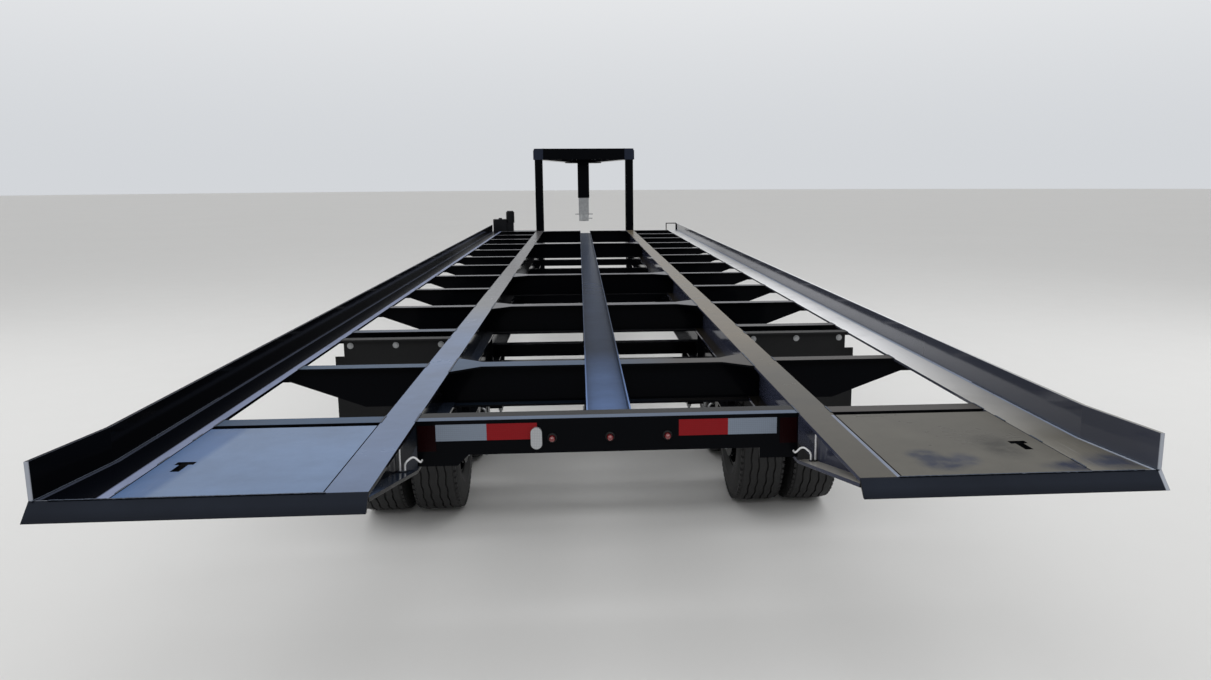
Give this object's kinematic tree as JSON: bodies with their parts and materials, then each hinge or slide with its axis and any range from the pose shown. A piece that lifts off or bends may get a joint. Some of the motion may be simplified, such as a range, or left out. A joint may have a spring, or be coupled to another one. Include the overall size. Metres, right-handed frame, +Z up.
{
  "type": "tilt trailer",
  "caption": "Deckover tilt trailer with an open steel bed, gooseneck, rear platforms, tandem dual wheels, a tilting bed and a hydraulic cylinder.",
  "frame": {"origin": "on the ground below the middle of the trailer's box", "axes": "+Y forwards to the gooseneck, +X to the right, +Z up"},
  "size_m": [2.667, 13.514, 2.13],
  "materials": {
    "black_paint": "glossy black enamel",
    "wheel_paint": "glossy black enamel",
    "tyre_rubber": "matt",
    "flap_rubber": "matt",
    "lamp_red": "gloss",
    "lead_sheath": "smooth",
    "lamp_clear": "gloss",
    "rod_chrome": "polished",
    "plated_steel": "zinc plated",
    "unit_steel": "grey paint"
  },
  "bodies": {
    "chassis": {"axle_front": "black_paint", "axle_rear": "black_paint", "chassis_crossmembers": "black_paint", "chassis_rail_left": "black_paint", "chassis_rail_right": "black_paint", "coupler": "plated_steel", "coupler_sleeve": "black_paint", "cylinder_base_pin": "plated_steel", "cylinder_lugs": "black_paint", "equalisers": "black_paint", "hinge_bracket_left": "black_paint", "hinge_bracket_right": "black_paint", "jack_legs": "plated_steel", "jack_shaft": "plated_steel", "jack_tubes": "black_paint", "leaf_springs": "black_paint", "neck_beam_left": "black_paint", "neck_beam_right": "black_paint", "neck_cross_bar": "black_paint", "neck_upright_left": "black_paint", "neck_upright_right": "black_paint", "power_unit": "unit_steel", "power_unit_shelf": "black_paint", "rest_pads": "flap_rubber", "spring_hangers": "black_paint"},
    "bed": {"approach_strips": "black_paint", "bed_beam_left": "black_paint", "bed_beam_right": "black_paint", "centre_crossmember_1": "black_paint", "centre_crossmember_2": "black_paint", "centre_crossmember_3": "black_paint", "centre_crossmember_4": "black_paint", "centre_crossmember_5": "black_paint", "centre_trough": "black_paint", "front_loop": "black_paint", "lamp_leads": "lead_sheath", "marker_lamps": "lamp_red", "mud_flap_left": "flap_rubber", "mud_flap_right": "flap_rubber", "outriggers_left": "black_paint", "outriggers_right": "black_paint", "plate_lamp": "lamp_clear", "platform_left": "black_paint", "platform_right": "black_paint", "rear_bumper": "black_paint", "side_rail_left": "black_paint", "side_rail_right": "black_paint", "tail_lamps": "lamp_red"},
    "cylinder_barrel": {"cylinder_barrel": "black_paint"},
    "cylinder_rod": {"cylinder_rod": "rod_chrome"},
    "wheels_rear_left": {"tyres_rear_left": "tyre_rubber", "rims_rear_left": "wheel_paint"},
    "wheels_rear_right": {"tyres_rear_right": "tyre_rubber", "rims_rear_right": "wheel_paint"},
    "wheels_front_left": {"tyres_front_left": "tyre_rubber", "rims_front_left": "wheel_paint"},
    "wheels_front_right": {"tyres_front_right": "tyre_rubber", "rims_front_right": "wheel_paint"}
  },
  "joints": [
    {"name": "bed_tilt", "type": "hinge", "parent": "chassis", "child": "bed", "pos_m": [0, -4.039, 0.74], "axis": [1, 0, 0], "range_deg": [0, 20]},
    {"name": "cylinder_swing", "type": "hinge", "parent": "chassis", "child": "cylinder_barrel", "pos_m": [0, -3.639, 0.4], "axis": [1, 0, 0], "range_deg": [0, 11]},
    {"name": "cylinder_extend", "type": "slide", "parent": "cylinder_barrel", "child": "cylinder_rod", "axis": [0, 0.3102, 0.9507], "range_m": [0, 0.165]},
    {"name": "wheel_rear_left", "type": "hinge", "parent": "chassis", "child": "wheels_rear_left", "pos_m": [0, -4.039, 0.391], "axis": [1, 0, 0], "continuous": true},
    {"name": "wheel_rear_right", "type": "hinge", "parent": "chassis", "child": "wheels_rear_right", "pos_m": [0, -4.039, 0.391], "axis": [1, 0, 0], "continuous": true},
    {"name": "wheel_front_left", "type": "hinge", "parent": "chassis", "child": "wheels_front_left", "pos_m": [0, -3.15, 0.391], "axis": [1, 0, 0], "continuous": true},
    {"name": "wheel_front_right", "type": "hinge", "parent": "chassis", "child": "wheels_front_right", "pos_m": [0, -3.15, 0.391], "axis": [1, 0, 0], "continuous": true}
  ],
  "couplings": [
    {"joint": "cylinder_swing", "follows": "bed_tilt", "ratio": 0.5013},
    {"joint": "cylinder_extend", "follows": "bed_tilt", "m_per_rad": 0.46588}
  ]
}
